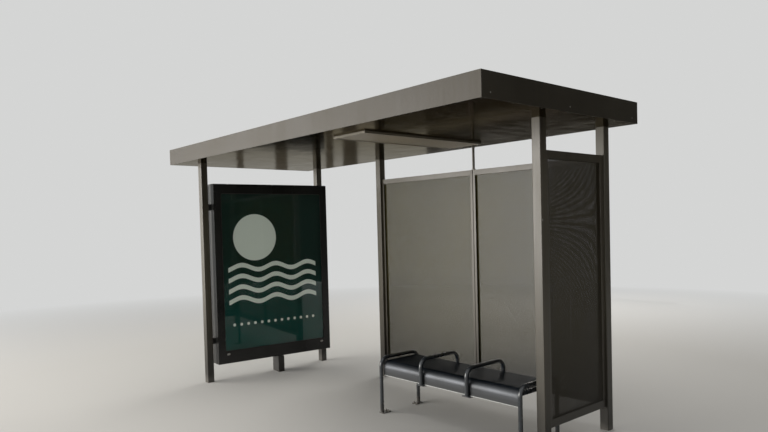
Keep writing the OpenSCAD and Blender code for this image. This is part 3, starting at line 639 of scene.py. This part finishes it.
def glowing_print(name, turn):
    """The poster's print with a painted glow; turn flips it for the case's outer side."""
    material, tree, shader = finish_tree(name)
    moved = add(tree, "VectorMath", {0: place(tree), 1: case_corner}, operation="SUBTRACT")
    local = add(tree, "VectorRotate", {"Vector": moved.outputs["Vector"], "Angle": case_cant},
                rotation_type="Z_AXIS").outputs["Vector"]
    axes = add(tree, "SeparateXYZ", {"Vector": local}).outputs
    along = combine(tree, "SUBTRACT", case_width, axes["Y"]) if turn else axes["Y"]
    up = axes["Z"]

    def reach(across, rise):
        """The distance that these two make together."""
        squares = combine(tree, "ADD", combine(tree, "MULTIPLY", across, across),
                          combine(tree, "MULTIPLY", rise, rise))
        return combine(tree, "SQRT", squares)

    def between(value, low, high):
        """1 between low and high, 0 elsewhere."""
        return combine(tree, "MULTIPLY", combine(tree, "GREATER_THAN", value, low),
                       combine(tree, "LESS_THAN", value, high))

    disc = combine(tree, "LESS_THAN", reach(combine(tree, "SUBTRACT", along, disc_middle[0]),
                                            combine(tree, "SUBTRACT", up, disc_middle[1])), disc_radius)
    swell = combine(tree, "SINE", combine(tree, "MULTIPLY", along, math.tau / wave_length))
    crest = combine(tree, "ADD", up, combine(tree, "MULTIPLY", swell, wave_rise))
    below = combine(tree, "DIVIDE", combine(tree, "SUBTRACT", wave_top, crest), wave_pitch)
    band = combine(tree, "LESS_THAN", combine(tree, "FRACT", below), wave_share)
    band = combine(tree, "MULTIPLY", band, between(below, 0.0, float(waves)))
    step = combine(tree, "FRACT", combine(tree, "DIVIDE", along, dot_pitch))
    step = combine(tree, "MULTIPLY", combine(tree, "SUBTRACT", step, 0.5), dot_pitch)
    dot = combine(tree, "LESS_THAN", reach(step, combine(tree, "SUBTRACT", up, dot_height)), dot_radius)
    motifs = combine(tree, "MAXIMUM", combine(tree, "MAXIMUM", disc, band), dot)
    pale = combine(tree, "MULTIPLY", motifs, between(along, side_margin, case_width - side_margin))
    wash = ramp(tree, up, 0.45, 1.35)
    grain = noise(tree, (700.0, 700.0, 700.0), 2.0)
    tone = noise(tree, (1.3, 1.3, 1.1), 4.0)
    colour = blend_colour(tree, wash, (0.001, 0.090, 0.075), (0.009, 0.036, 0.027))
    colour = blend_colour(tree, ramp(tree, tone, 0.35, 0.7, 0.0, 0.4), colour, (0.005, 0.034, 0.028))
    colour = blend_colour(tree, pale, colour, (0.66, 0.67, 0.60))
    colour = blend_colour(tree, ramp(tree, grain, 0.4, 0.7, 0.0, 0.12), colour, (0.02, 0.03, 0.03))
    tree.links.new(colour, shader.inputs["Base Color"])
    # Painted glow: the print's colour is also emitted, faintly on the green and more on the pale motifs.
    tree.links.new(colour, shader.inputs["Emission Color"])
    tree.links.new(ramp(tree, pale, 0.0, 1.0, 0.04, 0.22), shader.inputs["Emission Strength"])
    tree.links.new(ramp(tree, tone, 0.3, 0.7, 0.5, 0.65), shader.inputs["Roughness"])
    shader.inputs["Specular IOR Level"].default_value = 0.15
    bump(tree, shader, noise(tree, (2.5, 2.5, 1.5), 2.0), 0.002, 0.3)
    return material


dress(["inner_poster"], glowing_print("inner_print", False))
dress(["outer_poster"], glowing_print("outer_print", True))

# Bench: one bent steel sheet, three seats long, with a rolled front, on tube hoops.
# Its blue-black coat is polished where people sit. The rolled front is painted paler
# than the top, as painted light on the face turned to the light, with a patchy painted
# highlight over the roll and a bright painted highlight along the front's lower edge.
roll_start, roll_end = -0.060, -0.096
highlight_low, highlight_high, hem_top, hem_foot = 0.375, 0.425, 0.3515, 0.3495
seat, tree, shader = finish_tree("seat_paint")
cloud = noise(tree, (1.8, 3.0, 3.0), 5.0, 0.6)
scuff = noise(tree, (9.0, 120.0, 120.0), 5.0, 0.7)
speck = noise(tree, (180.0, 180.0, 180.0), 3.0, 0.6)
axes = add(tree, "SeparateXYZ", {"Vector": place(tree)}).outputs
front = ramp(tree, axes["Y"], roll_start, roll_end)
colour = blend_colour(tree, ramp(tree, cloud, 0.3, 0.7), (0.007, 0.013, 0.022), (0.015, 0.024, 0.037))
# Painted light: the front, turned to the light, is made paler than the top.
colour = blend_colour(tree, front, colour, (0.060, 0.062, 0.064))
# Painted highlight over the roll, broken into patches.
roll_highlight = combine(tree, "MULTIPLY", ramp(tree, axes["Z"], highlight_low, highlight_high), front)
patchy = ramp(tree, noise(tree, (4.5, 1.0, 14.0), 3.0, 0.5), 0.30, 0.60, 0.25, 0.95)
colour = blend_colour(tree, combine(tree, "MULTIPLY", roll_highlight, patchy), colour, (0.095, 0.10, 0.11))
colour = blend_colour(tree, ramp(tree, scuff, 0.60, 0.78, 0.0, 0.18), colour, (0.08, 0.09, 0.10))
colour = blend_colour(tree, ramp(tree, speck, 0.64, 0.78, 0.0, 0.10), colour, road_dust)
# Painted highlight: a bright line along the front's lower edge.
hem_highlight = combine(tree, "MULTIPLY", ramp(tree, axes["Z"], hem_top, hem_foot), front)
colour = blend_colour(tree, hem_highlight, colour, (0.40, 0.41, 0.40))
tree.links.new(colour, shader.inputs["Base Color"])
rough = combine(tree, "ADD", ramp(tree, cloud, 0.3, 0.7, 0.28, 0.38),
                ramp(tree, front, 0.0, 1.0, 0.0, 0.14))
tree.links.new(rough, shader.inputs["Roughness"])
shader.inputs["Metallic"].default_value = 0.7
shader.inputs["Specular IOR Level"].default_value = 0.25
shader.inputs["Specular Tint"].default_value = (0.105, 0.12, 0.165, 1.0)
bump(tree, shader, noise(tree, (300.0, 300.0, 300.0), 2.0), 0.0003, 0.6)
dress(["bench_seat"], seat)
tube_paint = weathered_paint("tube_paint", (0.010, 0.014, 0.019), (0.030, 0.037, 0.045),
                             shine=(0.20, 0.32), streaks=0.1, darken_height=0.15, rub=0.004, gloss=0.9)
HOOPS, ARMRESTS = ["left_bench_hoop", "right_bench_hoop"], ["inner_left_armrest", "inner_right_armrest"]
dress(HOOPS + ARMRESTS, tube_paint)

# Anchor bolts: two studs of plated steel through each foot plate into the ground,
# each with a nut on a washer.
foot_top, anchor_row, anchor_aside = 0.008, 0.077, 0.016
anchor_spots = []
for low, high in map(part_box, HOOPS):
    for row in (low[1] + anchor_row, high[1] - anchor_row):
        for aside in (-anchor_aside, anchor_aside):
            anchor_spots.append((((low[0] + high[0]) / 2 + aside, row, foot_top), (0, 0, 1)))
fasten(hexagon_bolt(stud=0.006), anchor_spots, "anchor_bolts", dull_steel, "shelter")

# Pad bolts: button heads of plated steel, up through the armrests' front pads into the
# seat's lip, one on each side of the leg.
pad_row, pad_aside = 0.043, 0.030
pad_spots = []
for low, high in map(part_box, ARMRESTS):
    for aside in (-pad_aside, pad_aside):
        pad_spots.append((((low[0] + high[0]) / 2 + aside, low[1] + pad_row, low[2]), (0, 0, -1)))
fasten(button_head(0.0075, 0.0045), pad_spots, "pad_bolts", dull_steel, "shelter")

# Weld beads: a fillet round each leg where it stands on its foot plate, and round
# the armrests' legs on their pads, under the same coat.
tube_radius, bead, ring_gap = 0.017, 0.0032, 0.001
foot_aside, foot_end, front_pad_top, back_pad_top = 0.010, 0.025, 0.345, 0.416
bpy.ops.mesh.primitive_torus_add(major_radius=tube_radius + ring_gap, minor_radius=bead,
                                 major_segments=48, minor_segments=8)
weld = bpy.context.object
ripple = bpy.data.textures.new("weld_ripple", "CLOUDS")
ripple.noise_scale = 0.004
uneven = weld.modifiers.new("ripple", "DISPLACE")
uneven.texture, uneven.strength, uneven.mid_level = ripple, 0.0012, 0.5
bpy.ops.object.modifier_apply(modifier="ripple")
weld_spots = []
for (low, high), outward_side in zip(map(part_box, HOOPS), (-1, 1)):
    leg = (low[0] + high[0]) / 2 + outward_side * foot_aside
    for row in (low[1] + foot_end, high[1] - foot_end):
        weld_spots.append(((leg, row, foot_top), (0, 0, 1)))
for low, high in map(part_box, ARMRESTS):
    leg = (low[0] + high[0]) / 2
    weld_spots.append(((leg, low[1] + tube_radius, front_pad_top), (0, 0, 1)))
    weld_spots.append(((leg, high[1] - tube_radius, back_pad_top), (0, 0, 1)))
fasten(weld, weld_spots, "weld_beads", tube_paint, "shelter")

# Studio: a plain pale floor, a pale world and three large soft lamps, the brightest
# on the open side.
floor_size, fade_start, fade_end = 120.0, 4.5, 12.0
backdrop, lamp_aim = (0.66, 0.665, 0.66), Vector((0.0, 0.0, 1.3))
bpy.ops.mesh.primitive_plane_add(size=floor_size)
floor = bpy.context.object
floor.name = "studio_floor"


def seen_rays(tree):
    """1 for the rays that see the backdrop: the camera's, and those off metal or through glass."""
    rays = add(tree, "LightPath").outputs
    shown = combine(tree, "MAXIMUM", rays["Is Camera Ray"], rays["Is Glossy Ray"])
    return combine(tree, "MAXIMUM", shown, rays["Is Transmission Ray"])


floor_paint, tree, shader = finish_tree("studio_floor")
shader.inputs["Base Color"].default_value = (0.56, 0.555, 0.54, 1.0)
shader.inputs["Roughness"].default_value = 0.9
shader.inputs["Specular IOR Level"].default_value = 0.1
away = add(tree, "VectorMath", {0: place(tree)}, operation="LENGTH").outputs["Value"]
far = combine(tree, "MULTIPLY", seen_rays(tree), ramp(tree, away, fade_start, fade_end))
pale = add(tree, "Emission", {"Color": (*backdrop, 1.0), "Strength": 1.0})
both = add(tree, "MixShader", {"Fac": far, 1: shader.outputs["BSDF"], 2: pale.outputs["Emission"]})
tree.links.new(both.outputs["Shader"], tree.nodes["Material Output"].inputs["Surface"])
floor.data.materials.append(floor_paint)

world = bpy.data.worlds.new("studio")
bpy.context.scene.world = world
world.use_nodes = True
tree = world.node_tree
lit = tree.nodes["Background"]
lit.inputs["Color"].default_value = (*backdrop, 1.0)
lit.inputs["Strength"].default_value = 0.42
seen = add(tree, "Background", {"Color": (*backdrop, 1.0), "Strength": 1.0})
both = add(tree, "MixShader", {"Fac": seen_rays(tree), 1: lit.outputs["Background"],
                               2: seen.outputs["Background"]})
tree.links.new(both.outputs["Shader"], tree.nodes["World Output"].inputs["Surface"])


def softbox(name, spot, size, power):
    """A wide soft lamp at spot, turned towards the shelter's middle."""
    bpy.ops.object.light_add(type="AREA", location=spot)
    lamp = bpy.context.object
    lamp.name = name
    lamp.data.shape = "RECTANGLE"
    lamp.data.size, lamp.data.size_y = size
    lamp.data.energy = power
    lamp.data.color = (1.0, 0.965, 0.91)
    lamp.rotation_euler = (lamp_aim - Vector(spot)).to_track_quat("-Z", "Y").to_euler()


softbox("street_softbox", (-6.5, -10.5, 2.7), (12.0, 4.6), 1900.0)
softbox("top_softbox", (0.0, -1.0, 8.0), (8.0, 6.0), 300.0)
softbox("back_softbox", (-4.0, 9.0, 4.5), (6.0, 5.0), 420.0)

# Flags: dark boards that keep the backdrop out of the right-hand faces and out of the
# soffit's right half, and four narrow ones that draw streaks in the soffit's left half.
# The camera doesn't see them and they cast no shadow.
flags = [("side_flag", (7.6, 6.6, 3.0), (11.0, 8.0), (0.0, 0.0, 0.0)),
         ("low_flag", (-4.6, 9.0, 0.75), (7.0, 1.5), (-4.6, 0.0, 0.75))]
for number, (along, width) in enumerate(((3.6, 0.18), (4.75, 0.35), (6.25, 0.25), (6.95, 0.50)), 1):
    flags.append((f"streak_flag_{number}", (-9.0, along, 1.1), (width, 2.2), (0.0, along, 1.1)))
for name, spot, size, aim in flags:
    cloth, tree, shader = finish_tree(name)
    shade = 0.20 if name.startswith("streak") else 0.03
    shader.inputs["Base Color"].default_value = (shade, shade * 0.92, shade * 0.78, 1.0)
    shader.inputs["Roughness"].default_value = 0.9
    bpy.ops.mesh.primitive_plane_add(size=1.0, location=spot)
    flag = bpy.context.object
    flag.name = name
    flag.scale = (*size, 1.0)
    flag.rotation_euler = (Vector(aim) - Vector(spot)).to_track_quat("Z", "Y").to_euler()
    flag.data.materials.append(cloth)
    flag.visible_camera = False
    flag.visible_shadow = False

# Camera: at eye height on the open side, off the right front corner. Its place, turn
# and focal length come from a fit to the edges of the roof, posts and case.
camera_spot = Vector((4.7706, -3.8998, 1.7153))
yaw, pitch, roll = math.radians(48.971), math.radians(-1.723), math.radians(-1.493)
focal_px, image_width, centre_drop = 638.75, 768.0, 29.0
forward = Vector((-math.sin(yaw) * math.cos(pitch), math.cos(yaw) * math.cos(pitch), math.sin(pitch)))
level = Vector((math.cos(yaw), math.sin(yaw), 0.0))
upright = level.cross(forward)
right = level * math.cos(roll) + upright * math.sin(roll)
up = right.cross(forward)
camera_data = bpy.data.cameras.new("street_view")
camera_data.sensor_width = 36.0
camera_data.lens = focal_px * camera_data.sensor_width / image_width
camera_data.shift_y = centre_drop / image_width
camera_data.clip_end = 300.0
camera = bpy.data.objects.new("street_view", camera_data)
bpy.context.scene.collection.objects.link(camera)
turn = Matrix((right, up, -forward)).transposed()
camera.matrix_world = Matrix.Translation(camera_spot) @ turn.to_4x4()
bpy.context.scene.camera = camera
bpy.context.scene.view_settings.view_transform = "Standard"
